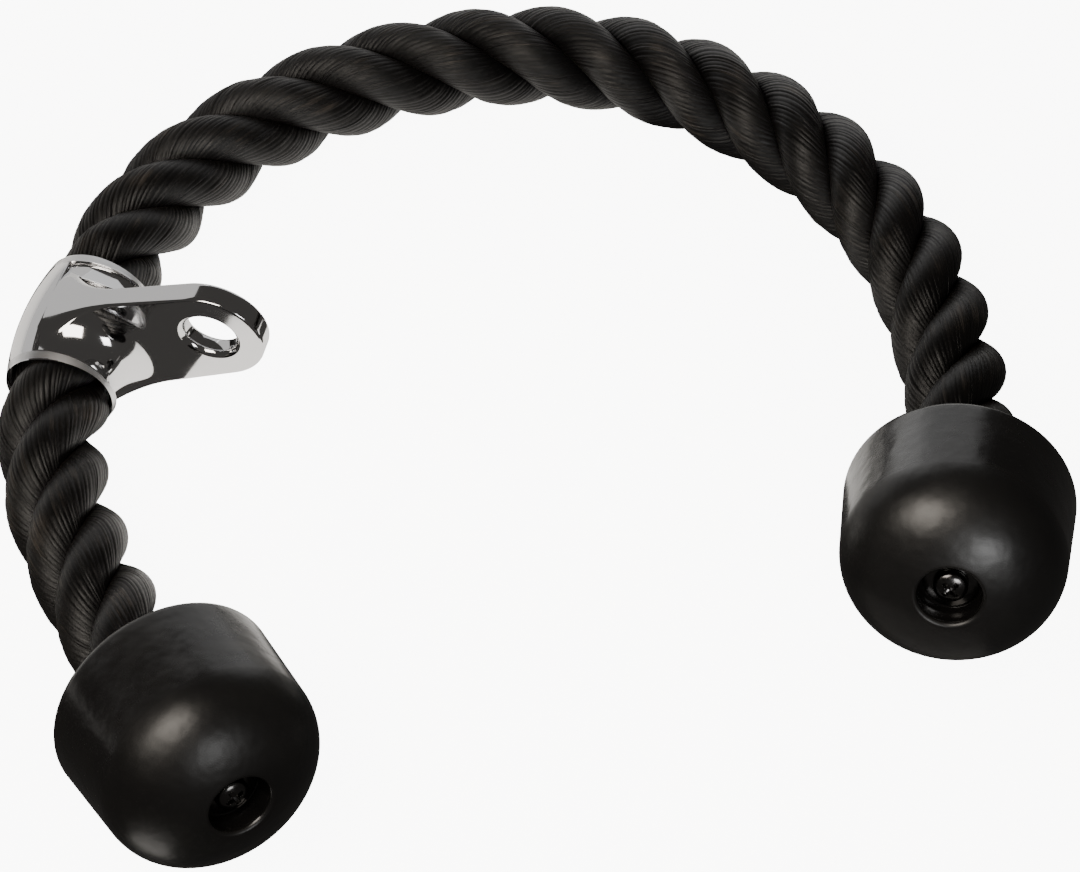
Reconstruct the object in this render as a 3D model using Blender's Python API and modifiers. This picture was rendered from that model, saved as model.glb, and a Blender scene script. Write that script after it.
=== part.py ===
"""Triceps rope attachment: one length of laid rope bent into an open U, a rubber
cap screwed on each end, and a chromed eye that slides and turns on the rope.

Metres, +Z up. The rope lies on the plane z = 0, its open side towards -Y.
Run it with: blender --background --python part.py
"""

import math

import bmesh
import bpy
import numpy as np
from mathutils import Matrix, Vector

# Fits
FIT_GAP = 0.0003                  # kept between pieces that touch or turn in each other

# Rope
ROPE_RADIUS = 0.0145              # mean radius of the laid rope
ROPE_POINT_SPACING = 0.0110       # along the tube, about
ROPE_SIDE_RESOLUTION = 4          # twelve sides

# The eye's sleeve, which a straight stretch of the rope passes through
EYE_PLACE = (-0.1310, 0.0257, 0.0187)
EYE_YAW = math.radians(14.8)      # of the rope there, from +Y towards +X
EYE_STRETCH = 0.0360              # length of the straight stretch
EYE_STRETCH_POINTS = 5

# The rope's centre line, from the mouth of the left cap to the eye's stretch
ROUTE_TO_EYE = [
    (-0.0998, -0.1040, 0.0309),
    (-0.1057, -0.0939, 0.0282),
    (-0.1158, -0.0749, 0.0243),
    (-0.1258, -0.0524, 0.0211),
    (-0.1338, -0.0284, 0.0193),
    (-0.1370, -0.0059, 0.0187),
]

# The rope's centre line, from the eye's stretch round the bend to the right cap's mouth
ROUTE_FROM_EYE = [
    (-0.1210, 0.0606, 0.0178),
    (-0.1128, 0.0776, 0.0164),
    (-0.0981, 0.0971, 0.0152),
    (-0.0798, 0.1129, 0.0149),
    (-0.0598, 0.1246, 0.0149),
    (-0.0378, 0.1333, 0.0149),
    (-0.0148, 0.1381, 0.0149),
    (0.0082, 0.1387, 0.0149),
    (0.0307, 0.1341, 0.0149),
    (0.0522, 0.1249, 0.0149),
    (0.0722, 0.1116, 0.0149),
    (0.0902, 0.0941, 0.0149),
    (0.1052, 0.0731, 0.0149),
    (0.1152, 0.0496, 0.0149),
    (0.1202, 0.0281, 0.0154),
    (0.1225, 0.0071, 0.0175),
    (0.1226, -0.0114, 0.0211),
    (0.1214, -0.0261, 0.0254),
    (0.1198, -0.0372, 0.0295),
]

# End caps, measured along their axis from the mouth that the rope enters
CAP_RADIUS = 0.0325
CAP_LENGTH = 0.0498
CAP_SIDE_LENGTH = 0.0186          # straight side, then the dome begins
CAP_MOUTH_FILLET = 0.0031
CAP_DOME_POWER_SHARE = 2.6        # exponent of the dome's rounded-square curve
CAP_WEB_THICKNESS = 0.0073        # rubber that the screw clamps
RECESS_RADIUS = 0.0088
RECESS_DEPTH = 0.0092             # below the dome's pole
RECESS_LIP = 0.0008
CAP_STEPS = 40
DOME_POINTS = 10
FILLET_POINTS = 4

# Ferrules, crimped on the rope's ends inside the caps
FERRULE_WALL = 0.0011
FERRULE_END_THICKNESS = 0.0050
FERRULE_LENGTH = 0.0170
FERRULE_STEPS = 32

# Screws and washers
SCREW_RADIUS = 0.0025
SCREW_HEAD_RADIUS = 0.00475
SCREW_HEAD_HEIGHT = 0.0032
SCREW_HEAD_EDGE = 0.0012          # straight rim under the head's crown
SCREW_HEAD_POINTS = 5
CROSS_LENGTH = 0.0052             # of the driver recess, tip to tip
CROSS_TIP_WIDTH = 0.0010          # of each arm at its tip
CROSS_ROOT_WIDTH = 0.0015         # of each arm where the four meet
CROSS_DEPTH = 0.0016
CROSS_ARMS = 4
WASHER_RADIUS = 0.0075
WASHER_THICKNESS = 0.0012
HARDWARE_STEPS = 28

# Eye bracket: a barrel-shaped sleeve with a lug standing square to it
EYE_SLEEVE_LENGTH = 0.0345
EYE_LIP_WALL = 0.0016             # thickness of the sleeve at its two mouths
EYE_BELLY_RISE = 0.0020           # how far its middle stands out past the mouths
EYE_LIP_ROUND = 0.0005
EYE_LUG_THICKNESS = 0.0068
EYE_REACH = 0.0463                # rope's axis to the centre of the eye hole
EYE_TIP_RADIUS = 0.0162
EYE_FILLET = 0.0080               # concave sweep from the sleeve to the lug's faces
EYE_EDGE_SINK = 0.0004            # the lug's edges start this far inside the belly
EYE_HOLE_RADIUS = 0.0078
EYE_HOLE_CHAMFER = 0.0015
EYE_LUG_TILT = math.radians(26.0)  # the lug's rise above level where it lies
EYE_STEPS = 56
EYE_TIP_POINTS = 28
EYE_FILLET_POINTS = 8
EYE_BARREL_POINTS = 8

# Overruns of the cutters past what they cut
CUT_OVERRUN = 0.0040

MERGE_DISTANCE = 0.00001

BLACK_ROPE = (0.012, 0.011, 0.010)
BLACK_RUBBER = (0.013, 0.013, 0.013)
CHROME = (0.72, 0.72, 0.73)
BLACK_STEEL = (0.020, 0.020, 0.022)
PLAIN_STEEL = (0.45, 0.45, 0.46)


def clear_scene():
    for item in list(bpy.data.objects):
        bpy.data.objects.remove(item, do_unlink=True)


def new_collection(name):
    group = bpy.data.collections.new(name)
    bpy.context.scene.collection.children.link(group)
    return group


def make_material(name, colour, roughness, metallic):
    material = bpy.data.materials.new(name)
    material.use_nodes = True
    shader = material.node_tree.nodes["Principled BSDF"]
    shader.inputs["Base Color"].default_value = (*colour, 1.0)
    shader.inputs["Roughness"].default_value = roughness
    shader.inputs["Metallic"].default_value = metallic
    material.diffuse_color = (*colour, 1.0)
    return material


def rope_material():
    return make_material("laid_polypropylene", BLACK_ROPE, 0.62, 0.0)


def rubber_material():
    return make_material("moulded_rubber", BLACK_RUBBER, 0.38, 0.0)


def chrome_material():
    return make_material("chromed_casting", CHROME, 0.06, 1.0)


def black_steel_material():
    return make_material("blackened_steel", BLACK_STEEL, 0.30, 1.0)


def plain_steel_material():
    return make_material("crimped_steel", PLAIN_STEEL, 0.35, 1.0)


def add_object(name, data, group, parent=None, material=None):
    item = bpy.data.objects.new(name, data)
    group.objects.link(item)
    if parent is not None:
        item.parent = parent
    if material is not None:
        data.materials.append(material)
    return item


def hide_cutter(item):
    item.hide_render = True
    item.display_type = 'WIRE'
    return item


def frame_empty(name, group, origin, z_axis, x_axis):
    """An empty at origin whose Z and X lie along the given directions."""
    z_axis = z_axis.normalized()
    y_axis = z_axis.cross(x_axis).normalized()
    x_axis = y_axis.cross(z_axis)
    turn = Matrix((x_axis, y_axis, z_axis)).transposed().to_4x4()
    empty = add_object(name, None, group)
    empty.empty_display_size = ROPE_RADIUS
    empty.matrix_world = Matrix.Translation(origin) @ turn
    return empty


def turned(name, profile, steps, group, parent, material=None, closed=True):
    """A profile of (radius, height) points, its outer side run top to bottom, turned
    about Z. A closed profile is a ring with a bore, an open one starts and ends on Z."""
    mesh = bpy.data.meshes.new(name)
    corners = [(radius, 0.0, height) for radius, height in profile]
    edges = [(i, i + 1) for i in range(len(corners) - 1)]
    if closed:
        edges.append((len(corners) - 1, 0))
    mesh.from_pydata(corners, edges, [])
    item = add_object(name, mesh, group, parent, material)
    screw = item.modifiers.new("turn", 'SCREW')
    screw.axis = 'Z'
    screw.steps = steps
    screw.render_steps = steps
    screw.use_merge_vertices = True
    screw.merge_threshold = MERGE_DISTANCE
    screw.use_smooth_shade = True
    return item


def outline_solid(name, outline, half_depth, group, parent, material=None):
    """A closed flat outline in XY, filled and extruded both ways along Z."""
    curve = bpy.data.curves.new(name, 'CURVE')
    curve.dimensions = '2D'
    curve.fill_mode = 'BOTH'
    curve.extrude = half_depth
    spline = curve.splines.new('POLY')
    spline.points.add(len(outline) - 1)
    for point, (x, y) in zip(spline.points, outline):
        point.co = (x, y, 0.0, 1.0)
    spline.use_cyclic_u = True
    drawn = add_object(name + "_outline", curve, group)
    solid = mesh_of_curve(drawn)
    solid.name = name
    item = add_object(name, solid, group, parent, material)
    bpy.data.objects.remove(drawn, do_unlink=True)
    return item


def mesh_of_curve(drawn):
    """The curve's evaluated mesh, with its loose caps welded to its walls."""
    bpy.context.view_layer.update()
    evaluated = drawn.evaluated_get(bpy.context.evaluated_depsgraph_get())
    mesh = bpy.data.meshes.new_from_object(evaluated)
    work = bmesh.new()
    work.from_mesh(mesh)
    bmesh.ops.remove_doubles(work, verts=work.verts, dist=MERGE_DISTANCE)
    bmesh.ops.recalc_face_normals(work, faces=work.faces)
    work.to_mesh(mesh)
    work.free()
    return mesh


def combine(item, tool, operation):
    boolean = item.modifiers.new(operation.lower() + "_" + tool.name, 'BOOLEAN')
    boolean.operation = operation
    boolean.solver = 'EXACT'
    boolean.object = tool


def smooth_curve(points, spacing):
    """Places along the natural cubic spline through the points, each of which is one of
    them, at about the given spacing, and the unit tangents at its two ends. Between two
    points the spline is the usual cubic of their positions and second derivatives, which
    a linear system gives."""
    points = np.array(points)
    spans = np.linalg.norm(np.diff(points, axis=0), axis=1)
    knots = np.concatenate([[0.0], np.cumsum(spans)])
    count = len(points)
    system = np.eye(count)
    target = np.zeros_like(points)
    slopes = np.diff(points, axis=0) / spans[:, None]
    for i in range(1, count - 1):
        system[i, i - 1:i + 2] = spans[i - 1], 2 * (spans[i - 1] + spans[i]), spans[i]
        target[i] = 6 * (slopes[i] - slopes[i - 1])
    bends = np.linalg.solve(system, target)
    places = [knots[0]]
    for low, high in zip(knots, knots[1:]):
        pieces = max(1, round((high - low) / spacing))
        places.extend(np.linspace(low, high, pieces + 1)[1:])
    places = np.array(places)
    index = np.clip(np.searchsorted(knots, places, side='right') - 1, 0, count - 2)
    before = (knots[index + 1] - places)[:, None]
    after = (places - knots[index])[:, None]
    span = spans[index][:, None]
    curve = (bends[index] * before ** 3 + bends[index + 1] * after ** 3) / (6 * span)
    curve += (points[index] / span - bends[index] * span / 6) * before
    curve += (points[index + 1] / span - bends[index + 1] * span / 6) * after
    start = slopes[0] - (2 * bends[0] + bends[1]) * spans[0] / 6
    end = slopes[-1] + (bends[-2] + 2 * bends[-1]) * spans[-1] / 6
    return [Vector(place) for place in curve], Vector(start).normalized(), Vector(end).normalized()


def arc_points(radius, first, last, count, centre=(0.0, 0.0)):
    angles = np.linspace(first, last, count)
    return [(centre[0] + radius * math.cos(a), centre[1] + radius * math.sin(a)) for a in angles]


def recess_floor():
    return CAP_LENGTH - RECESS_DEPTH


def pocket_floor():
    return recess_floor() - CAP_WEB_THICKNESS


def ferrule_top():
    return pocket_floor() - FIT_GAP


def rope_end():
    """How far the rope reaches past the cap's mouth: up to the ferrule's closed end."""
    return ferrule_top() - FERRULE_END_THICKNESS - FIT_GAP


def make_rope(group, places, left_axis, right_axis):
    path = [places[0] + left_axis * rope_end()] + places + [places[-1] + right_axis * rope_end()]
    curve = bpy.data.curves.new("rope", 'CURVE')
    curve.dimensions = '3D'
    curve.bevel_depth = ROPE_RADIUS
    curve.bevel_resolution = ROPE_SIDE_RESOLUTION
    curve.use_fill_caps = True
    curve.twist_mode = 'Z_UP'
    spline = curve.splines.new('POLY')
    spline.points.add(len(path) - 1)
    for point, place in zip(spline.points, path):
        point.co = (*place, 1.0)
    spline.use_smooth = True
    return add_object("rope", curve, group, material=rope_material())


def dome_radius_and_height(angle):
    """The dome is a rounded square turned about Z: cos and sin of the angle raised to
    the same power, the radius wide and the rest of the cap's length high."""
    power = 2 / CAP_DOME_POWER_SHARE
    dome_height = CAP_LENGTH - CAP_SIDE_LENGTH
    radius = CAP_RADIUS * math.cos(angle) ** power
    return radius, CAP_SIDE_LENGTH + dome_height * math.sin(angle) ** power


def cap_profile():
    rim = RECESS_RADIUS + RECESS_LIP
    rim_angle = math.acos((rim / CAP_RADIUS) ** (CAP_DOME_POWER_SHARE / 2))
    dome = [dome_radius_and_height(a) for a in np.linspace(rim_angle, 0.0, DOME_POINTS)]
    mouth_centre = (CAP_RADIUS - CAP_MOUTH_FILLET, CAP_MOUTH_FILLET)
    mouth = arc_points(CAP_MOUTH_FILLET, 0.0, -math.pi / 2, FILLET_POINTS, mouth_centre)
    rope_bore = ROPE_RADIUS + FIT_GAP
    ferrule_bore = rope_bore + FERRULE_WALL + FIT_GAP
    step_height = ferrule_top() - FERRULE_LENGTH - FIT_GAP
    screw_bore = SCREW_RADIUS + FIT_GAP
    inside = [
        (rope_bore, 0.0),
        (rope_bore, step_height),
        (ferrule_bore, step_height),
        (ferrule_bore, pocket_floor()),
        (screw_bore, pocket_floor()),
        (screw_bore, recess_floor()),
        (RECESS_RADIUS, recess_floor()),
        (RECESS_RADIUS, dome[0][1] - RECESS_LIP),
    ]
    return dome + mouth + inside


def make_cap(side, group, end, material):
    return turned(side + "_end_cap", cap_profile(), CAP_STEPS, group, end, material)


def make_ferrule(side, group, end, material):
    inner = ROPE_RADIUS + FIT_GAP
    outer = inner + FERRULE_WALL
    thread = SCREW_RADIUS + FIT_GAP
    top = ferrule_top()
    bottom = top - FERRULE_LENGTH
    shoulder = top - FERRULE_END_THICKNESS
    profile = [
        (thread, top), (outer, top), (outer, bottom), (inner, bottom), (inner, shoulder),
        (thread, shoulder),
    ]
    return turned(side + "_rope_ferrule", profile, FERRULE_STEPS, group, end, material)


def make_washer(side, group, end, material):
    bottom = recess_floor() + FIT_GAP
    top = bottom + WASHER_THICKNESS
    hole = SCREW_RADIUS + FIT_GAP
    profile = [(hole, top), (WASHER_RADIUS, top), (WASHER_RADIUS, bottom), (hole, bottom)]
    return turned(side + "_cap_washer", profile, HARDWARE_STEPS, group, end, material)


def cross_outline():
    """Four arms that narrow towards their tips."""
    reach = CROSS_LENGTH / 2
    tip = CROSS_TIP_WIDTH / 2
    root = CROSS_ROOT_WIDTH / 2
    outline = []
    for arm in range(CROSS_ARMS):
        turn = Matrix.Rotation(2 * math.pi * arm / CROSS_ARMS, 2)
        for x, y in ((reach, -tip), (reach, tip), (root, root)):
            outline.append(tuple(turn @ Vector((x, y))))
    return outline


def make_screw(side, group, cutters, end, material):
    seat = recess_floor() + FIT_GAP + WASHER_THICKNESS + FIT_GAP
    top = seat + SCREW_HEAD_HEIGHT
    tip = ferrule_top() - FERRULE_END_THICKNESS + FIT_GAP
    crown = SCREW_HEAD_HEIGHT - SCREW_HEAD_EDGE
    angles = np.linspace(math.pi / 2, 0.0, SCREW_HEAD_POINTS)
    head = [(SCREW_HEAD_RADIUS * math.cos(a), top - crown + crown * math.sin(a)) for a in angles]
    head[0] = (0.0, top)
    profile = head + [
        (SCREW_HEAD_RADIUS, seat), (SCREW_RADIUS, seat), (SCREW_RADIUS, tip), (0.0, tip),
    ]
    screw = turned(side + "_cap_screw", profile, HARDWARE_STEPS, group, end, material, closed=False)
    slot = outline_solid(side + "_cross_cutter", cross_outline(), CROSS_DEPTH, cutters, end)
    slot.location = (0.0, 0.0, top)
    hide_cutter(slot)
    combine(screw, slot, 'DIFFERENCE')
    return screw


def eye_bore_radius():
    return ROPE_RADIUS + FIT_GAP


def eye_lip_radius():
    return eye_bore_radius() + EYE_LIP_WALL


def eye_belly_radius():
    return eye_lip_radius() + EYE_BELLY_RISE


def lug_outline():
    """Outline of the lug seen along the sleeve: the tip's circle and its two straight
    edges, which touch a circle just inside the sleeve's belly and end there."""
    hub = eye_belly_radius() - EYE_EDGE_SINK
    tangent = math.acos((hub - EYE_TIP_RADIUS) / EYE_REACH)
    tip = arc_points(EYE_TIP_RADIUS, -tangent, tangent, EYE_TIP_POINTS, (EYE_REACH, 0.0))
    ends = arc_points(hub, tangent, 2 * math.pi - tangent, 2)
    return tip + ends


def lug_profile():
    """Half thickness of the lug against distance from the rope's axis: a concave quarter
    circle from the sleeve down to the lug's flat faces."""
    half = EYE_LUG_THICKNESS / 2
    root = eye_lip_radius()
    reach = EYE_REACH + EYE_TIP_RADIUS + CUT_OVERRUN
    angles = np.linspace(0.0, math.pi / 2, EYE_FILLET_POINTS)
    sweep = [
        (root + EYE_FILLET * (1 - math.cos(a)), half + EYE_FILLET * (1 - math.sin(a)))
        for a in angles
    ]
    upper = [(0.0, half + EYE_FILLET)] + sweep + [(reach, half)]
    lower = [(radius, -height) for radius, height in reversed(upper)]
    return upper + lower


def barrel_profile():
    """The sleeve's outside: one arc through both lips and the belly, with rounded lips."""
    half = EYE_SLEEVE_LENGTH / 2
    lip = eye_lip_radius()
    bow = (half ** 2 + EYE_BELLY_RISE ** 2) / (2 * EYE_BELLY_RISE)
    swing = math.asin(half / bow)
    centre = eye_belly_radius() - bow
    side = arc_points(bow, swing, -swing, EYE_BARREL_POINTS, (centre, 0.0))
    side[0] = (lip, half - EYE_LIP_ROUND)
    side[-1] = (lip, -half + EYE_LIP_ROUND)
    face = lip - EYE_LIP_ROUND
    return [(0.0, half), (face, half)] + side + [(face, -half), (0.0, -half)]


def bore_profile():
    half = EYE_SLEEVE_LENGTH / 2
    bore = eye_bore_radius()
    flare = bore + EYE_LIP_ROUND
    end = half + CUT_OVERRUN
    upper = [(0.0, end), (flare + CUT_OVERRUN, end), (flare, half), (bore, half - EYE_LIP_ROUND)]
    lower = [(radius, -height) for radius, height in reversed(upper)]
    return upper + lower


def eye_hole_profile():
    half = EYE_LUG_THICKNESS / 2
    end = half + CUT_OVERRUN
    wide = EYE_HOLE_RADIUS + EYE_HOLE_CHAMFER
    upper = [(0.0, end), (wide + CUT_OVERRUN, end), (wide, half)]
    upper.append((EYE_HOLE_RADIUS, half - EYE_HOLE_CHAMFER))
    lower = [(radius, -height) for radius, height in reversed(upper)]
    return upper + lower


def make_eye_bracket(group, cutters, pivot, material):
    half = EYE_SLEEVE_LENGTH / 2
    eye = outline_solid("eye_bracket", lug_outline(), half, group, pivot, material)
    web = turned("eye_web", lug_profile(), EYE_STEPS, cutters, pivot, closed=False)
    barrel = turned("eye_barrel", barrel_profile(), EYE_STEPS, cutters, pivot, closed=False)
    bore = turned("eye_bore", bore_profile(), EYE_STEPS, cutters, pivot, closed=False)
    hole = turned("eye_hole", eye_hole_profile(), EYE_TIP_POINTS, cutters, pivot, closed=False)
    hole.location = (EYE_REACH, 0.0, 0.0)
    for tool in (web, barrel, bore, hole):
        hide_cutter(tool)
    combine(eye, web, 'INTERSECT')
    combine(eye, barrel, 'UNION')
    combine(eye, bore, 'DIFFERENCE')
    combine(eye, hole, 'DIFFERENCE')
    return eye


def make_end(side, group, cutters, mouth, axis, finishes):
    """One capped end, built up along the empty's Z from the cap's mouth."""
    end = frame_empty(side + "_end", group, mouth, axis, Vector((1.0, 0.0, 0.0)))
    make_cap(side, group, end, finishes["rubber"])
    make_ferrule(side, group, end, finishes["plain_steel"])
    make_washer(side, group, end, finishes["black_steel"])
    make_screw(side, group, cutters, end, finishes["black_steel"])


def eye_direction():
    """Along the rope inside the eye, away from the open side."""
    return Vector((math.sin(EYE_YAW), math.cos(EYE_YAW), 0.0))


def rope_route():
    offsets = np.linspace(-EYE_STRETCH / 2, EYE_STRETCH / 2, EYE_STRETCH_POINTS)
    stretch = [tuple(Vector(EYE_PLACE) + eye_direction() * offset) for offset in offsets]
    return ROUTE_TO_EYE + stretch + ROUTE_FROM_EYE


def eye_frame(group):
    """The swivel's empty: Z along the sleeve towards the open side, X along the lug."""
    axis = -eye_direction()
    level = Vector((0.0, 0.0, 1.0)).cross(axis)
    lug = Matrix.Rotation(EYE_LUG_TILT, 3, axis) @ level
    return frame_empty("eye_pivot", group, Vector(EYE_PLACE), axis, lug)


def main():
    clear_scene()
    parts = new_collection("triceps_rope_attachment")
    cutters = new_collection("cutters")
    finishes = {
        "rubber": rubber_material(),
        "black_steel": black_steel_material(),
        "plain_steel": plain_steel_material(),
    }
    places, start, finish = smooth_curve(rope_route(), ROPE_POINT_SPACING)
    left_axis = -start
    right_axis = finish
    make_rope(parts, places, left_axis, right_axis)
    make_end("left", parts, cutters, places[0], left_axis, finishes)
    make_end("right", parts, cutters, places[-1], right_axis, finishes)
    make_eye_bracket(parts, cutters, eye_frame(parts), chrome_material())


main()
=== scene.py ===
"""Triceps rope attachment, dressed: three laid strands with their yarns, a chromed eye
bracket, moulded rubber end caps with their screws and washers, and a plain studio.

Laid out as a Blender add-on and run as a script. Metres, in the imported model's frame.
"""

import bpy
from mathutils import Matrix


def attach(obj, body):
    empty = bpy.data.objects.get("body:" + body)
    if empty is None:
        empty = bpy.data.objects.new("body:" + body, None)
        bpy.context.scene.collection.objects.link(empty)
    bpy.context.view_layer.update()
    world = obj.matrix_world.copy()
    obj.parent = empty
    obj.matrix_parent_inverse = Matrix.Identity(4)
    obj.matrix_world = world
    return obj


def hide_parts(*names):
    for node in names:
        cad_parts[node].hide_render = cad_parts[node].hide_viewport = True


bl_info = {
    "name": "Triceps rope attachment",
    "version": (1, 0, 0),
    "blender": (4, 5, 0),
    "location": "3D View > Sidebar > Triceps Rope",
    "description": "Builds the laid rope, eye bracket, end caps and studio on the packed model",
    "category": "Add Mesh",
}

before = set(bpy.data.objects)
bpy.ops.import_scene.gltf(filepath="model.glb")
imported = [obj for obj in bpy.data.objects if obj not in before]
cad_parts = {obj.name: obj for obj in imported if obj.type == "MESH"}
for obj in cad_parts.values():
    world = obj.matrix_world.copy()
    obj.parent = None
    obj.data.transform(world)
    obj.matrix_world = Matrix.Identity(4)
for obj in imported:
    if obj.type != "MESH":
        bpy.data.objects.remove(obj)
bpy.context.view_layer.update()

import math
from functools import partial

import bmesh
import bpy
import numpy as np
from mathutils import Vector

MM = 0.001

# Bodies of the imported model
ROPE_BODY = "rope_and_caps"
EYE_BODY = "eye"

# The rope's centre line, as part.py has it
ROUTE_TO_EYE = [
    (-0.0998, -0.1040, 0.0309), (-0.1057, -0.0939, 0.0282), (-0.1158, -0.0749, 0.0243),
    (-0.1258, -0.0524, 0.0211), (-0.1338, -0.0284, 0.0193), (-0.1370, -0.0059, 0.0187),
]
ROUTE_FROM_EYE = [
    (-0.1210, 0.0606, 0.0178), (-0.1128, 0.0776, 0.0164), (-0.0981, 0.0971, 0.0152),
    (-0.0798, 0.1129, 0.0149), (-0.0598, 0.1246, 0.0149), (-0.0378, 0.1333, 0.0149),
    (-0.0148, 0.1381, 0.0149), (0.0082, 0.1387, 0.0149), (0.0307, 0.1341, 0.0149),
    (0.0522, 0.1249, 0.0149), (0.0722, 0.1116, 0.0149), (0.0902, 0.0941, 0.0149),
    (0.1052, 0.0731, 0.0149), (0.1152, 0.0496, 0.0149), (0.1202, 0.0281, 0.0154),
    (0.1225, 0.0071, 0.0175), (0.1226, -0.0114, 0.0211), (0.1214, -0.0261, 0.0254),
    (0.1198, -0.0372, 0.0295),
]
EYE_PLACE = np.array((-0.1310, 0.0257, 0.0187))
EYE_YAW = math.radians(14.8)
EYE_STRETCH = 0.0360  # straight run through the sleeve
EYE_STRETCH_POINTS = 5
HIDDEN_END = 0.0277  # rope inside each cap, past its mouth
SPARE_END = 0.004  # line kept past each hidden end
LINE_POINTS = 6000
LINE_STEP = 0.00025

UP = np.array([0.0, 0.0, 1.0])
EYE_ALONG = np.array([math.sin(EYE_YAW), math.cos(EYE_YAW), 0.0])
EYE_LEVEL = np.array([math.cos(EYE_YAW), -math.sin(EYE_YAW), 0.0])

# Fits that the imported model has
ROPE_BORE = 0.0148
SCREW_BORE = 0.0028

SQUARE_LIMIT = 1.4  # radians, where a cosine still divides safely


# ---- small helpers

def linear(colour):
    """An sRGB hex colour as linear red, green, blue and alpha."""
    parts = [int(colour[i:i + 2], 16) / 255 for i in (1, 3, 5)]
    return (*[p / 12.92 if p <= 0.04045 else ((p + 0.055) / 1.055) ** 2.4 for p in parts], 1.0)


def unit(vectors):
    """Vectors scaled to length one, along the last axis."""
    return vectors / np.linalg.norm(vectors, axis=-1, keepdims=True)


def smooth_step(share):
    """3 t^2 - 2 t^3, which leaves nought and reaches one without a kink."""
    return share * share * (3 - 2 * share)


def rounded(start, corner, end, count):
    """Points of the curve (1 - t)^2 start + 2 t (1 - t) corner + t^2 end."""
    t = np.linspace(0, 1, count)[:, None]
    return (1 - t) ** 2 * start + 2 * t * (1 - t) * corner + t ** 2 * end


def arc(radius, first, last, count, centre):
    """Points of a circle's arc: centre plus radius times cosine and sine of the angle."""
    angle = np.linspace(first, last, count)
    return np.stack([centre[0] + radius * np.cos(angle), centre[1] + radius * np.sin(angle)], -1)


def add_node(tree, kind, inputs=(), stops=(), **settings):
    """Adds a shader node, sets its properties, and fills its sockets: a value is typed in,
    an output socket is linked, and a node stands for its first output. Stops are a ramp's
    pairs of position and colour."""
    node = tree.nodes.new("ShaderNode" + kind)
    for name, value in settings.items():
        setattr(node, name, value)
    for _ in stops[2:]:
        node.color_ramp.elements.new(0.5)
    for element, (position, colour) in zip(node.color_ramp.elements if stops else (), stops):
        element.position = position
        element.color = colour
    for socket, value in dict(inputs).items():
        if isinstance(value, bpy.types.Node):
            value = value.outputs[0]
        if isinstance(value, bpy.types.NodeSocket):
            tree.links.new(value, node.inputs[socket])
        else:
            node.inputs[socket].default_value = value
    return node


def add_object(name, data, material=None):
    """Puts a mesh, with its material, or a lamp or camera into the scene, at the origin."""
    item = bpy.data.objects.new(name, data)
    bpy.context.scene.collection.objects.link(item)
    if material:
        data.materials.append(material)
    return item


def add_piece(name, mesh, material, body):
    """Puts a mesh into the scene at the origin and lets it ride on a body."""
    piece = add_object(name, mesh, material)
    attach(piece, body)
    return piece


def grid_quads(rows, columns, ring):
    """Corner numbers of the quads of a grid of points, row by row. Each row is closed on
    itself, and in a ring the last row meets the first."""
    row = np.arange(rows if ring else rows - 1)[:, None]
    column = np.arange(columns)[None, :]
    next_row = (row + 1) % rows
    next_column = (column + 1) % columns
    corners = [row * columns + column, row * columns + next_column,
               next_row * columns + next_column, next_row * columns + column]
    return np.stack(np.broadcast_arrays(*corners), axis=-1).reshape(-1, 4)


def end_fans(rows, columns):
    """Triangles from the first and the last row of a grid, closed round its rows, to two
    points that follow the grid's own."""
    first_tip = rows * columns
    last_row = (rows - 1) * columns
    around = np.arange(columns)
    beside = (around + 1) % columns
    low = np.stack([np.full(columns, first_tip), beside, around], -1)
    high = np.stack([np.full(columns, first_tip + 1), last_row + around, last_row + beside], -1)
    return low.tolist() + high.tolist()


def mesh_of(name, points, faces):
    """A smooth mesh of these points and faces."""
    mesh = bpy.data.meshes.new(name)
    mesh.from_pydata(np.asarray(points).reshape(-1, 3).tolist(), [], [list(f) for f in faces])
    mesh.shade_smooth()
    mesh.update()
    return mesh


def clean_closed(mesh, distance=0.002 * MM):
    """Merges points that fall together, drops faces without area, and turns the faces
    of the closed surface outwards."""
    work = bmesh.new()
    work.from_mesh(mesh)
    bmesh.ops.remove_doubles(work, verts=work.verts, dist=distance)
    bmesh.ops.dissolve_degenerate(work, edges=work.edges, dist=distance)
    bmesh.ops.recalc_face_normals(work, faces=work.faces)
    work.to_mesh(mesh)
    work.free()
    mesh.update()
    return mesh


def shade_with_edges(mesh, degrees):
    """Smooth shading, with sharp edges where faces meet at more than an angle."""
    mesh.shade_smooth()
    mesh.set_sharp_from_angle(angle=math.radians(degrees))
    return mesh


def turned_mesh(name, profile, steps, origin, axis, side, crease=32):
    """A closed profile of (distance from the axis, height along it) carried round the
    axis: origin + radius (cos u side + sin u across) + height axis."""
    across = np.cross(axis, side)
    turn = np.linspace(0, 2 * math.pi, steps, endpoint=False)[None, :, None]
    radius = profile[:, 0, None, None]
    height = profile[:, 1, None, None]
    spoke = np.cos(turn) * side + np.sin(turn) * across
    points = origin + radius * spoke + height * axis
    faces = grid_quads(len(profile), steps, True)
    return shade_with_edges(clean_closed(mesh_of(name, points, faces)), crease)


def along_and_away(mesh, origin, axis):
    """How far each point lies along an axis, and how far away from it."""
    place = np.empty(len(mesh.vertices) * 3)
    mesh.vertices.foreach_get("co", place)
    offset = place.reshape(-1, 3) - origin
    return offset @ axis, np.linalg.norm(np.cross(offset, axis), axis=1)


def mark_points(mesh, name, values):
    """Gives each point a number that the mesh's material reads."""
    mesh.attributes.new(name, "FLOAT", "POINT").data.foreach_set("value", values)


# ---- the rope's line

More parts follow.
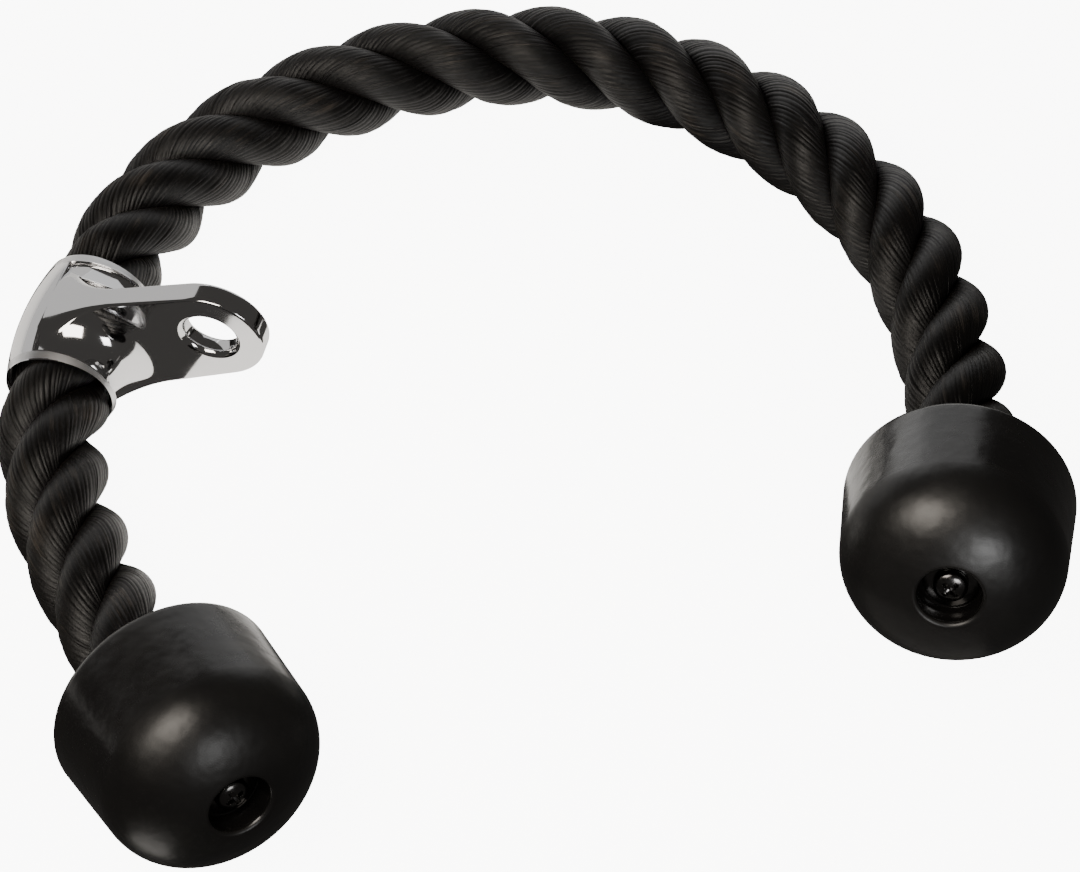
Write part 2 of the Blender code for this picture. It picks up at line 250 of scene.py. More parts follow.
def smooth_line(points, count):
    """Natural cubic spline through the points with the straight distances between them
    as its parameter: one tridiagonal system gives the second slopes at the points, and
    each span is the cubic that has them."""
    spans = np.linalg.norm(np.diff(points, axis=0), axis=1)
    knots = np.concatenate([[0.0], np.cumsum(spans)])
    last = len(points) - 1
    system = np.eye(last + 1)
    known = np.zeros_like(points)
    slopes = np.diff(points, axis=0) / spans[:, None]
    for i in range(1, last):
        system[i, i - 1:i + 2] = spans[i - 1], 2 * (spans[i - 1] + spans[i]), spans[i]
        known[i] = 6 * (slopes[i] - slopes[i - 1])
    bend = np.linalg.solve(system, known)
    at = np.linspace(0, knots[-1], count)
    k = np.clip(np.searchsorted(knots, at, side="right") - 1, 0, last - 1)
    h = spans[k][:, None]
    before = (knots[k + 1] - at)[:, None]
    after = (at - knots[k])[:, None]
    curved = (bend[k] * before ** 3 + bend[k + 1] * after ** 3) / (6 * h)
    low = (points[k] / h - bend[k] * h / 6) * before
    high = (points[k + 1] / h - bend[k + 1] * h / 6) * after
    return curved + low + high


def route_points():
    """The points of the rope's centre line from mouth to mouth."""
    offsets = np.linspace(-0.5, 0.5, EYE_STRETCH_POINTS)[:, None] * EYE_STRETCH
    return np.concatenate([ROUTE_TO_EYE, EYE_PLACE + offsets * EYE_ALONG, ROUTE_FROM_EYE])


def rope_line():
    """Length, place, side and up direction along the rope, at even steps, with a straight
    end past each mouth. Side = vertical x tangent, up = tangent x side, so the frame
    doesn't twist. Length is nought at the left mouth."""
    curve = smooth_line(route_points(), LINE_POINTS)
    steps = np.linalg.norm(np.diff(curve, axis=0), axis=1)
    length = np.concatenate([[0.0], np.cumsum(steps)])
    first = unit(curve[0] - curve[1])
    last = unit(curve[-1] - curve[-2])
    reach = HIDDEN_END + SPARE_END
    length = np.concatenate([[-reach], length, [length[-1] + reach]])
    curve = np.concatenate([[curve[0] + first * reach], curve, [curve[-1] + last * reach]])
    even = np.arange(length[0], length[-1], LINE_STEP)
    place = np.stack([np.interp(even, length, curve[:, i]) for i in range(3)], -1)
    tangent = unit(np.gradient(place, even, axis=0))
    side = unit(np.cross(UP, tangent))
    return even, place, side, np.cross(tangent, side)


def frame_at(line, where):
    """Place, side and up at given lengths."""
    length, *tracks = line
    return [np.stack([np.interp(where, length, t[:, i]) for i in range(3)], -1) for t in tracks]


# ---- settings

def size(name, description, default, least=0.3, most=3.0):
    """A length in metres that a user can change, between two shares of its default."""
    return bpy.props.FloatProperty(name=name, description=description, default=default,
                                   min=least * default, max=most * default,
                                   unit="LENGTH", precision=5)


def slope(name, description, degrees):
    """An angle that a user can change, given in degrees."""
    return bpy.props.FloatProperty(name=name, description=description, subtype="ANGLE",
                                   default=math.radians(degrees))


def tint(name, description, colour):
    """A colour that a user can change, with an sRGB hex colour as its default."""
    return bpy.props.FloatVectorProperty(name=name, description=description, subtype="COLOR",
                                         size=4, min=0.0, max=1.0, default=linear(colour))


class TricepsRopeSettings(bpy.types.PropertyGroup):
    strand_centre: size("Strand centre", "Rope's axis to a strand's centre", 0.00815)
    strand_radius: size("Strand radius", "Radius of one of the three strands", 0.00708)
    lay_length: size("Lay length", "One full turn of a strand, right-hand laid", 0.0744)
    yarns: bpy.props.IntProperty(
        name="Yarns", description="Yarns seen round one strand", default=26, min=6, max=60)
    yarn_ridge: size("Yarn ridge", "How far a yarn stands out of its strand", 0.00019, 0)
    strand_gap: size("Strand gap", "Clear width where strands press together", 0.00010, 0)
    row_step: size("Row step", "Length of rope between two rows of points", 0.00108, 0.5, 9)
    # colours of the painted sheen on the crowns and of the painted shade in the grooves
    crown_colour_with_painted_sheen: tint("Crown colour", "Colour of the yarns on the crowns", "#13110f")
    groove_colour_with_painted_shade: tint("Groove colour", "Colour of the yarns in the grooves", "#080707")


class TricepsEyeSettings(bpy.types.PropertyGroup):
    sleeve_length: size("Sleeve length", "Length of the sleeve along the rope", 0.0345)
    lip_radius: size("Lip radius", "Outside radius at the sleeve's mouths", 0.0164, 0.95, 2)
    belly_radius: size("Belly radius", "Outside radius at the middle", 0.0184, 0.9, 2)
    lug_thickness: size("Lug thickness", "Thickness of the lug at the eye", 0.0068)
    reach: size("Reach", "Rope's axis to the centre of the eye's hole", 0.0463, 0.6, 2)
    tip_radius: size("Tip radius", "Radius of the lug's rounded tip", 0.0162, 0.7, 2)
    fillet: size("Fillet", "Sweep from the sleeve into the lug's faces", 0.0122, 0.1, 1.1)
    side_fillet: size("Side fillet", "The same at the lug's sides", 0.0130, 0.1, 1.03)
    edge: size("Edge rounding", "Rounding of the lug's outer edges", 0.0012)
    root_edge: size("Root edge rounding", "The same where the edge leaves the sleeve", 0.0056)
    hole_radius: size("Hole radius", "Radius of the eye's hole", 0.0078, 0.4, 1.5)
    chamfer: size("Hole chamfer", "Chamfer of the eye's hole", 0.0015, 0.2, 2)
    tilt: slope("Lug tilt", "Rise of the lug above level", 26)
    colour: tint("Colour", "Colour of the chrome plate", "#dcdcdd")


class TricepsCapSettings(bpy.types.PropertyGroup):
    radius: size("Radius", "Radius of an end cap", 0.0325, 0.6, 2)
    length: size("Length", "Length of an end cap from mouth to dome", 0.0498, 0.8, 2)
    side_length: size("Side length", "Mouth to the crease where the dome starts", 0.0300, 0.2, 1.5)
    crease_radius: size("Crease radius", "Radius at the crease", 0.0314, 0.6, 2)
    recess_radius: size("Recess radius", "Radius of the screw recess", 0.0088, 0.5, 2)
    recess_depth: size("Recess depth", "Depth of the recess below the dome", 0.0092, 0.2, 2)
    crease: size("Crease", "How far the dome draws in after the crease", 0.00028, 0)
    colour: tint("Colour", "Colour of the rubber", "#100f0f")


class TricepsHardwareSettings(bpy.types.PropertyGroup):
    head_radius: size("Head radius", "Radius of the screw's pan head", 0.00475, 0.7, 1.5)
    head_rim: size("Head rim", "Height of the head's upright rim", 0.0012)
    head_crown: size("Head crown", "Height of the head's crown over its rim", 0.0020, 0.3, 1.5)
    cross_reach: size("Cross reach", "Middle to the end of a cross's arm", 0.0026, 0.4, 1.5)
    cross_depth: size("Cross depth", "Depth of the cross recess", 0.0016, 0.3, 1.5)
    washer_radius: size("Washer radius", "Outside radius of a washer", 0.0075, 0.7, 1.1)
    washer_thickness: size("Washer thickness", "Thickness of a washer", 0.0012, 0.5, 1)


class TricepsStageSettings(bpy.types.PropertyGroup):
    lens: bpy.props.FloatProperty(
        name="Lens", description="Focal length of the camera", default=137.4, min=10, max=500)
    elevation: slope("Elevation", "Height of the camera over the table, as an angle", 54)
    distance: size("Distance", "Camera to what it looks at", 1.2)
    floor_colour: tint("Floor colour", "Colour of the floor", "#f4f4f3")
    table_glow: bpy.props.FloatProperty(
        name="Table glow", description="Brightness of the light table", default=10.0, min=0, max=20)


# ---- materials

def emptied(owner):
    """Clears the nodes of a material or world, and returns it and what adds a node."""
    owner.use_nodes = True
    owner.node_tree.nodes.clear()
    return owner, partial(add_node, owner.node_tree)


def new_material(name):
    """A material without nodes, and what adds a node to it."""
    return emptied(bpy.data.materials.new(name))


def shaded(material, inputs):
    """Ends a material with one Principled shader that has these inputs."""
    shader = add_node(material.node_tree, "BsdfPrincipled", inputs)
    add_node(material.node_tree, "OutputMaterial", {"Surface": shader})
    return material


def twisted_yarn_material(sizes):
    """Black multifilament polypropylene rope yarn, spun and laid: matt black, with a warm grey
    sheen on the crowns where filaments catch the light, mostly painted into the crowns' colour as
    painted highlight, fine lines along each yarn, and painted shade that makes the grooves black."""
    material, node = new_material("laid_polypropylene_yarn")
    where = node("UVMap", uv_map="yarn")
    # how high a point stands on the crown: it carries the painted sheen on the crowns and the
    # painted shade in the grooves
    crown = node("Attribute", attribute_name="crown").outputs["Fac"]
    # gloss spreads across the filaments, so its direction is the map's first one
    sideways = node("Tangent", direction_type="UV_MAP", uv_map="yarn")
    # one tone for each yarn, which the map counts across
    number = node("Math", {0: node("SeparateXYZ", {"Vector": where})}, operation="FLOOR")
    tone = node("TexWhiteNoise", {"W": number}, noise_dimensions="1D")
    # filaments: about 12 across a 1.6 mm yarn, and runs of some 8 mm along it
    strands = node("Mapping", {"Vector": where, "Scale": (12.0, 0.13, 1.0)})
    filament = node("TexNoise", {"Vector": strands, "Scale": 1.0, "Detail": 3.0, "Roughness": 0.6})
    # wear and dust in patches of about 12 mm
    place = node("TexCoord").outputs["Object"]
    patch = node("TexNoise", {"Vector": place, "Scale": 85.0, "Detail": 3.0})
    # the three add up, and the crown mask turns their sum into painted sheen on the crowns and
    # fades it into painted shade in the grooves
    shade = -0.67
    for source, share in ((tone, 0.30), (patch, 0.90), (filament, 1.35)):
        shade = node("Math", {0: source, 1: share, 2: shade}, operation="MULTIPLY_ADD")
    shade = node("Math", {0: shade, 1: crown}, operation="MULTIPLY")
    # the ramp runs from painted shade in the grooves to a painted sheen of light fibres on the
    # crowns
    colour = node("ValToRGB", {"Fac": shade}, [
        (0.0, sizes.groove_colour_with_painted_shade), (0.45, linear("#0b0a0a")),
        (0.75, sizes.crown_colour_with_painted_sheen), (1.0, linear("#4a443e"))])
    bump = node("Bump", {"Height": filament, "Strength": 0.55, "Distance": 0.00018})
    return shaded(material, {
        "Base Color": colour, "Roughness": 0.37, "Specular IOR Level": 0.40, "IOR": 1.49,
        "Anisotropic": 0.85, "Tangent": sideways, "Normal": bump,
        "Sheen Weight": 0.03, "Sheen Roughness": 0.45, "Sheen Tint": linear("#8a7b6c")})


def chrome_material(sizes):
    """Chromium plate over a polished casting: a near mirror, faintly uneven from the
    casting below, with the thinnest handling haze, and rubbed dull on the sleeve's lips."""
    material, node = new_material("chrome_plated_casting")
    place = node("TexCoord").outputs["Object"]
    # haze in patches of about 6 mm
    haze = node("TexNoise", {"Vector": place, "Scale": 160.0, "Detail": 4.0})
    rough = node("MapRange", {"Value": haze, "From Min": 0.35, "From Max": 0.75,
                              "To Min": 0.045, "To Max": 0.11})
    # the casting's waves, some 10 mm long
    wave = node("TexNoise", {"Vector": place, "Scale": 95.0, "Detail": 1.0})
    bump = node("Bump", {"Height": wave, "Strength": 0.20, "Distance": 0.00030})
    rubbed = node("Attribute", attribute_name="rubbed").outputs["Fac"]
    dull = node("Math", {0: rubbed, 1: 0.32, 2: rough}, operation="MULTIPLY_ADD")
    return shaded(material, {
        "Base Color": sizes.colour, "Metallic": 1.0, "Roughness": dull, "Normal": bump})


def rubber_material(sizes):
    """Moulded synthetic rubber from a steel mould: deep black, with a satin dome, a
    smoother side, a very fine orange-peel skin and a few duller handling patches."""
    material, node = new_material("moulded_rubber")
    place = node("TexCoord").outputs["Object"]
    # handling patches of about 22 mm
    patch = node("TexNoise", {"Vector": place, "Scale": 45.0, "Detail": 4.0, "Roughness": 0.55})
    colour = node("ValToRGB", {"Fac": patch}, [(0.3, sizes.colour), (0.7, linear("#151413"))])
    uneven = node("MapRange", {"Value": patch, "From Min": 0.3, "From Max": 0.7,
                               "To Min": 0.21, "To Max": 0.32})
    dome = node("Attribute", attribute_name="dome").outputs["Fac"]
    rough = node("Math", {0: dome, 1: 0.10, 2: uneven}, operation="MULTIPLY_ADD")
    # the mould's own waves, some 9 mm long, and its skin: grains of about 0.5 mm
    wave = node("TexNoise", {"Vector": place, "Scale": 115.0, "Detail": 2.0})
    swell = node("Bump", {"Height": wave, "Strength": 0.48, "Distance": 0.0006})
    skin = node("TexNoise", {"Vector": place, "Scale": 1900.0, "Detail": 2.0})
    bump = node("Bump", {"Height": skin, "Strength": 0.10, "Distance": 0.00005,
                         "Normal": swell})
    return shaded(material, {
        "Base Color": colour, "Roughness": rough, "IOR": 1.52, "Specular IOR Level": 0.5,
        "Normal": bump})


def black_steel_material():
    """Black oxide on cold-headed steel: dark, half bright, with die marks of about 1 mm."""
    material, node = new_material("black_oxide_steel")
    place = node("TexCoord").outputs["Object"]
    marks = node("TexNoise", {"Vector": place, "Scale": 900.0, "Detail": 3.0})
    rough = node("MapRange", {"Value": marks, "From Min": 0.3, "From Max": 0.7,
                              "To Min": 0.14, "To Max": 0.26})
    bump = node("Bump", {"Height": marks, "Strength": 0.15, "Distance": 0.00005})
    return shaded(material, {
        "Base Color": linear("#5c5b5a"), "Metallic": 1.0, "Roughness": rough, "Normal": bump})


def galvanised_steel_material():
    """Zinc plated drawn steel cup, crimped: pale grey, half matt, mottled every 4 mm."""
    material, node = new_material("zinc_plated_steel")
    place = node("TexCoord").outputs["Object"]
    cloud = node("TexNoise", {"Vector": place, "Scale": 260.0, "Detail": 3.0})
    colour = node("ValToRGB", {"Fac": cloud},
                  [(0.3, linear("#a7a8a8")), (0.7, linear("#c2c3c4"))])
    rough = node("MapRange", {"Value": cloud, "To Min": 0.30, "To Max": 0.45})
    return shaded(material, {"Base Color": colour, "Metallic": 1.0, "Roughness": rough})


def floor_material(sizes):
    """Opal acrylic top of a light table: white, matt, lit evenly from below, with the
    faintest clouds of about 0.3 m."""
    material, node = new_material("opal_light_table")
    place = node("TexCoord").outputs["Object"]
    cloud = node("TexNoise", {"Vector": place, "Scale": 3.0, "Detail": 2.0})
    colour = node("ValToRGB", {"Fac": cloud},
                  [(0.0, linear("#f1f1f0")), (1.0, sizes.floor_colour)])
    return shaded(material, {
        "Base Color": colour, "Roughness": 0.85, "Specular IOR Level": 0.2,
        "Emission Color": sizes.floor_colour, "Emission Strength": sizes.table_glow})


def card_material(name, colour, glow):
    """Bounce card, seen only as a reflection in gloss."""
    return shaded(new_material(name + "_paper")[0], {
        "Base Color": linear(colour), "Roughness": 0.9,
        "Emission Color": linear("#fffdf8"), "Emission Strength": glow})


# ---- the rope

# The lay's angle in radians at the rope's middle, and its drift at the ends by the square
# and by the cube of the way there
ROPE_MIDDLE = 0.287
LAY_START, LAY_SQUARE, LAY_CUBE = 0.895, 0.487, 0.594

# Where the rope is pressed in: reach from the sleeve's middle and from a cap's mouth, the
# ramps there, and how much of its size is left
EYE_AT = 0.1434
EYE_GRIP, EYE_RAMP = 0.0255, 0.007
CAP_GRIP, CAP_RAMP = 0.0045, 0.006
PRESSED = 0.938

# Yarns' wander: radians, waves round the strand, radians of wave along a metre, and shift
# from strand to strand
WANDER = [(0.045, 3, 55, 1), (0.030, 8, -160, 2)]
# Strands' swelling: share, radians of wave along a metre, and shift
SWELL = [(0.008, 210, 2.1), (0.006, 93, 1)]
# Where strands have opened: share, place and reach
OPENED = [(0.026, 0.075, 0.060), (0.020, 0.530, 0.045)]

YARN_SEED = 40
YARN_POINTS = 6  # across one yarn
YARN_BREADTH = 2.5  # the power that makes a ridge broad
YARN_SUNK = 0.6  # share of a ridge inside the strand's radius
YARN_HEIGHTS = (0.45, 1.35)  # a ridge's least and most height, as a share
YARN_WAVES = (90, 330)  # radians of its unevenness along a metre
YARN_UNEVEN = 0.6  # share of its height that comes and goes
STRAND_UNEVEN = 0.00010
# where the painted sheen of the crowns starts; nearer the axis the grooves get painted shade
PAINTED_SHEEN_FROM = 0.0088  # distance from the axis where the crown's tone starts
LEAST_FAR = 0.0006  # the least distance that a point has


def lay_angle(length):
    """Angle of the first strand round the rope: the lay's even turn, and a slow drift of
    up to a sixth of a turn, as the rope opens and tightens along its bend."""
    along = (length - ROPE_MIDDLE) / ROPE_MIDDLE
    even = 2 * math.pi * (length - ROPE_MIDDLE) / bpy.context.scene.triceps_rope.lay_length
    return LAY_START + even + LAY_SQUARE * along ** 2 + LAY_CUBE * along ** 3


def squeeze(length, total):
    """Share of its size that the rope keeps, pressed inside the sleeve and in the caps'
    pockets, with smooth ramps."""
    near_eye = np.clip((EYE_GRIP - np.abs(length - EYE_AT)) / EYE_RAMP, 0, 1)
    near_end = np.clip((CAP_GRIP - np.minimum(length, total - length)) / CAP_RAMP, 0, 1)
    return 1 - (1 - PRESSED) * smooth_step(np.maximum(near_eye, near_end))


def strand_points(line, sizes, number):
    """One strand. Its centre is a helix round the rope's axis, centre radius times cosine
    and sine of the lay angle. Round it goes a circle of the strand's radius, square to the
    helix, whose points turn back against the lay so that the yarns run along the rope. Each
    yarn stands out as a low round ridge. What would pass into the next strand is pressed
    flat against the plane between them, and the whole is then bent along the rope's line."""
    a = sizes.strand_centre
    b = sizes.strand_radius
    total = line[0][-1] - HIDDEN_END - SPARE_END
    rows = int((total + 2 * HIDDEN_END) / sizes.row_step)
    columns = sizes.yarns * YARN_POINTS
    s = np.linspace(-HIDDEN_END, total + HIDDEN_END, rows)[:, None]
    u = np.linspace(0, 2 * math.pi, columns, endpoint=False)[None, :]
    third = 2 * math.pi / 3
    angle = lay_angle(s) + number * third
    rate = np.gradient(lay_angle(s[:, 0]), s[:, 0])[:, None]
    run = 1 / np.sqrt(1 + (a * rate) ** 2)
    back = (-(a + b) * rate / (b * run))[:, 0]
    turned = np.concatenate([[0.0], np.cumsum(0.5 * (back[1:] + back[:-1]) * np.diff(s[:, 0]))])
    wander = sum(most * np.sin(waves * u + along * s + shift * number)
                 for most, waves, along, shift in WANDER)
    psi = u + wander + turned[:, None]
    rng = np.random.default_rng(YARN_SEED + number)
    inside = (np.arange(columns) % YARN_POINTS) / YARN_POINTS
    ridge = (1 - np.abs(2 * inside - 1) ** YARN_BREADTH)[None, :]
    yarn = np.arange(columns) // YARN_POINTS
    offsets = rng.uniform(0, 2 * math.pi, (3, sizes.yarns))[:, yarn][:, None, :]
    rates = rng.uniform(*YARN_WAVES, (3, sizes.yarns))[:, yarn][:, None, :]
    uneven = np.sin(rates * s[None] + offsets).sum(0) / 3
    stands = rng.uniform(*YARN_HEIGHTS, sizes.yarns)[yarn][None, :]
    stands = stands * (1 + YARN_UNEVEN * uneven)
    radius = b + sizes.yarn_ridge * (ridge - YARN_SUNK) * stands + STRAND_UNEVEN * uneven
    opened = sum(most * np.exp(-((s - at) / reach) ** 2) for most, at, reach in OPENED)
    swell = sum(most * np.sin(along * s + shift * number) for most, along, shift in SWELL)
    radius = radius * (1 + opened + swell)
    outward = radius * np.cos(psi)
    across = radius * np.sin(psi)
    x = (a + outward) * np.cos(angle) - across * run * np.sin(angle)
    y = (a + outward) * np.sin(angle) + across * run * np.cos(angle)
    z = s - across * a * rate * run
    far = np.hypot(x, y)
    off = np.arctan2(y, x) - lay_angle(z) - number * third
    off = (off + math.pi) % (2 * math.pi) - math.pi
    limit = third / 2 - sizes.strand_gap / 2 / np.maximum(far, 2 * MM)
    beyond = np.abs(off) > limit
    pressed = far * np.cos(np.minimum(np.abs(off) - limit, SQUARE_LIMIT))
    far = np.where(beyond, np.maximum(pressed, LEAST_FAR), far)
    off = np.where(beyond, np.sign(off) * limit, off)
    kept = squeeze(z, total)
    where = lay_angle(z) + number * third + off
    place, side, up = frame_at(line, z)
    points = place + (far * kept * np.cos(where))[..., None] * side
    points += (far * kept * np.sin(where))[..., None] * up
    # how high a point stands on the crown; the material paints sheen on the crowns and shade in the
    # grooves from it
    crown = np.clip((far - PAINTED_SHEEN_FROM) / (a + b - PAINTED_SHEEN_FROM), 0, 1)
    return points, crown, s[:, 0]


def strand_mesh(name, line, sizes, number):
    """The strand's grid with a fan on each end, a map that counts yarns across and
    millimetres along, and how high each point stands on the crown, from which the material
    paints sheen on the crowns and shade in the grooves."""
    points, crown, s = strand_points(line, sizes, number)
    rows, columns = crown.shape
    quads = grid_quads(rows, columns, False)
    ends = np.stack([points[0].mean(0), points[-1].mean(0)])
    mesh = mesh_of(name, np.concatenate([points.reshape(-1, 3), ends]),
                   quads.tolist() + end_fans(rows, columns))
    mark_points(mesh, "crown", np.concatenate([crown.ravel(), [0.0, 0.0]]))
    row, column = np.divmod(quads, columns)
    # the last column's quads go on to a whole turn, and not back to nought
    column = np.where((column == 0) & (column[:, :1] == columns - 1), columns, column)
    across = column / YARN_POINTS + number * sizes.yarns
    along = s[row] / MM
    fans = np.zeros((2 * columns * 3, 2))
    uv = np.concatenate([np.stack([across, along], -1).reshape(-1, 2), fans])
    mesh.uv_layers.new(name="yarn").data.foreach_set("uv", uv.ravel())
    return mesh


class TRICEPS_OT_make_rope(bpy.types.Operator):
    bl_idname = "triceps.make_rope"
    bl_label = "Make laid rope"

    def execute(self, context):
        sizes = context.scene.triceps_rope
        line = rope_line()
        material = twisted_yarn_material(sizes)
        for number in range(3):
            name = "rope_strand_%d" % (number + 1)
            piece = add_piece(name, strand_mesh(name, line, sizes, number), material, ROPE_BODY)
        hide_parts("rope")
        return {"FINISHED"}


# ---- the eye bracket

LIP_IN = 0.0005  # rounding of the sleeve's mouth, at the bore
LIP_OUT = 0.0006  # and at the outside
ROOT_SPREAD = math.radians(45)  # either side of the lug's root, where its edge is rounder
WEB_SHARE = 0.80  # most of the web, and of the wall, that a rounding takes
WALL_SHARE = 0.6
FLARE_DEPTH = 1.05  # the eye's flare: its start, and its middle's place
FLARE_MIDDLE = (0.18, 0.45)  # across and down, all as shares of the chamfer
FLARE_OVERRUN = 1.2  # past the lug's face
ON_OUTLINE = 1e-9  # a point this near to the outline is on it
LEAST_GAP = 1e-12
EYE_STEPS = 96
BRACKET_CREASE = 22  # degrees between faces that make a sharp edge
RUBBED_DEPTH = 0.0004  # what hands and hooks have rubbed, from the lip's face
RUBBED_RAMP = 0.0002


def hub_radius(sizes, height):
    """The sleeve's outside: belly radius less a parabola that reaches the lip radius at
    the sleeve's mouths."""
    rise = sizes.belly_radius - sizes.lip_radius
    return sizes.belly_radius - rise * (height / (sizes.sleeve_length / 2)) ** 2


def touch_angle(sizes, hub):
    """Angle from the lug's middle where the lug's straight edge touches the sleeve."""
    return np.arccos((hub - sizes.tip_radius) / sizes.reach)


def outline_radius(sizes, angle, height):
    """Distance from the rope's axis to the lug's edge at an angle from the lug's middle:
    the tip's circle, D cos a + sqrt(R^2 - D^2 sin^2 a), then the straight line that touches
    the tip and the sleeve, hub / cos(a - touch), then the sleeve itself."""
    hub = hub_radius(sizes, height)
    reach = sizes.reach
    tip = sizes.tip_radius
    touch = touch_angle(sizes, hub)
    leave = np.arctan2(tip * np.sin(touch), reach + tip * np.cos(touch))
    turn = np.abs(angle)
    chord = np.maximum(tip ** 2 - (reach * np.sin(turn)) ** 2, 0)
    round_end = reach * np.cos(turn) + np.sqrt(chord)
    straight = hub / np.cos(np.minimum(np.abs(turn - touch), SQUARE_LIMIT))
    return np.where(turn < leave, round_end, np.where(turn < touch, straight, hub))


def web_curve(sizes, angle):
    """Half of the bracket's section through the rope's axis, from the lip inwards: the
    barrel, then a circle that touches the barrel and the lug's flat face, then the face.
    The circle's radius grows smoothly from the lug's middle to its sides. Returned as
    closely spaced points."""
    half = sizes.sleeve_length / 2
    face = sizes.lug_thickness / 2
    share = min(1.0, abs(angle) / (0.5 * math.pi))
    r = sizes.fillet + (sizes.side_fillet - sizes.fillet) * smooth_step(share)
    centre_height = face + r
    rise = sizes.belly_radius - sizes.lip_radius
    # the circle touches the barrel where the barrel leans as much as the circle does
    height = centre_height
    for _ in range(20):
        lean = math.atan(2 * rise * height / half ** 2)
        height = centre_height + r * math.sin(lean)
    start = (float(hub_radius(sizes, height)), height)
    centre = (start[0] + r * math.cos(lean), centre_height)
    bend = arc(r, math.pi - lean, 1.5 * math.pi, 60, centre)
    bend[0] = start
    past_tip = sizes.reach + sizes.tip_radius + 4 * MM
    flat = np.linspace((centre[0], face), (past_tip, face), 240)[1:]
    heights = np.linspace(half - LIP_OUT, height, 20)
    barrel = np.stack([hub_radius(sizes, heights), heights], -1)
    return barrel, np.concatenate([bend, flat])


def bracket_section(sizes, angle):
    """The bracket's outside from the lip down to the lug's middle plane at one angle:
    barrel, web as far as the outline, a rounded edge, and the wall along the outline."""
    barrel, curve = web_curve(sizes, angle)
    reach = outline_radius(sizes, angle, curve[:, 1])
    outside = np.nonzero(curve[:, 0] >= reach - ON_OUTLINE)[0]
    hit = int(outside[0]) if len(outside) else len(curve) - 1
    corner = curve[0]
    if hit > 0:
        gap0 = reach[hit - 1] - curve[hit - 1, 0]
        gap1 = reach[hit] - curve[hit, 0]
        share = gap0 / max(gap0 - gap1, LEAST_GAP)
        corner = curve[hit - 1] + share * (curve[hit] - curve[hit - 1])
    web = np.concatenate([curve[:max(hit, 1)], corner[None]])
    steps = np.concatenate([[0], np.cumsum(np.linalg.norm(np.diff(web, axis=0), axis=1))])
    touch = touch_angle(sizes, sizes.belly_radius)
    share = max(0.0, 1 - abs(touch - abs(angle)) / ROOT_SPREAD)
    rounding = sizes.edge + (sizes.root_edge - sizes.edge) * share
    to = np.linspace(0, steps[-1] - min(rounding, WEB_SHARE * steps[-1]), 56)
    web_part = np.stack([np.interp(to, steps, web[:, i]) for i in range(2)], -1)
    low = corner[1] - min(rounding, WALL_SHARE * corner[1])
    after = np.array([float(outline_radius(sizes, angle, np.array(low))), low])
    edge = rounded(web_part[-1], corner, after, 10)[1:-1]
    heights = np.linspace(low, 0, 9)
    wall = np.stack([outline_radius(sizes, angle, heights), heights], -1)
    return np.concatenate([barrel[:-1], web_part, edge, wall])


def bracket_angles(sizes):
    """Angles round the sleeve, close together on the tip, even along the straight edges
    and wider round the back."""
    hub = sizes.belly_radius
    touch = touch_angle(sizes, hub)
    swing = np.linspace(0, touch, 44)
    tip = np.arctan2(sizes.tip_radius * np.sin(swing),
                     sizes.reach + sizes.tip_radius * np.cos(swing))
    edge_end = math.tan(touch - tip[-1]) * hub
    edge = touch - np.arctan(np.linspace(edge_end, 0, 46) / hub)
    back = np.linspace(touch, math.pi, 48)
    one_side = np.concatenate([tip, edge[1:], back[1:]])
    return np.concatenate([one_side, -one_side[-2:0:-1]])


def bracket_mesh(sizes, lug):
    """The closed bracket without its eye: at each angle one section, bore to lip to lug
    and its mirror image in the lug's middle plane, carried round the rope's axis."""
    half = sizes.sleeve_length / 2
    bore = np.array([(ROPE_BORE, h) for h in np.linspace(0, half - LIP_IN, 8)])
    lip_in = arc(LIP_IN, math.pi, math.pi / 2, 5, (ROPE_BORE + LIP_IN, half - LIP_IN))[1:]
    lip_out = arc(LIP_OUT, math.pi / 2, 0, 7, (sizes.lip_radius - LIP_OUT, half - LIP_OUT))
    start = np.concatenate([bore, lip_in, lip_out[:-1]])
    across = np.cross(EYE_ALONG, lug)
    rings = []
    for angle in bracket_angles(sizes):
        half_loop = np.concatenate([start, bracket_section(sizes, angle)])
        loop = np.concatenate([half_loop, half_loop[-2:0:-1] * [1, -1]])
        spoke = math.cos(angle) * lug + math.sin(angle) * across
        rings.append(EYE_PLACE + loop[:, :1] * spoke + loop[:, 1:] * EYE_ALONG)
    points = np.stack(rings)
    faces = grid_quads(*points.shape[:2], True)
    return clean_closed(mesh_of("eye_bracket_chromed", points, faces), 0.004 * MM)


def eye_cutter(sizes, lug):
    """What the eye's hole takes away: a cylinder with a rounded flare at both faces."""
    half = sizes.lug_thickness / 2
    r = sizes.hole_radius
    c = sizes.chamfer
    low = np.array((r, half - FLARE_DEPTH * c))
    middle = np.array((r + FLARE_MIDDLE[0] * c, half - FLARE_MIDDLE[1] * c))
    high = np.array((r + c, half))
    beyond = high + FLARE_OVERRUN * (high - middle)
    upper = np.concatenate([[(r, 0.0)], rounded(low, middle, high, 8),
                            [beyond, (0.0, beyond[1])]])
    profile = np.concatenate([upper, (upper * [1, -1])[-1:0:-1]])
    centre = EYE_PLACE + sizes.reach * lug
    return turned_mesh("eye_cutter", profile, EYE_STEPS, centre, EYE_ALONG, lug)


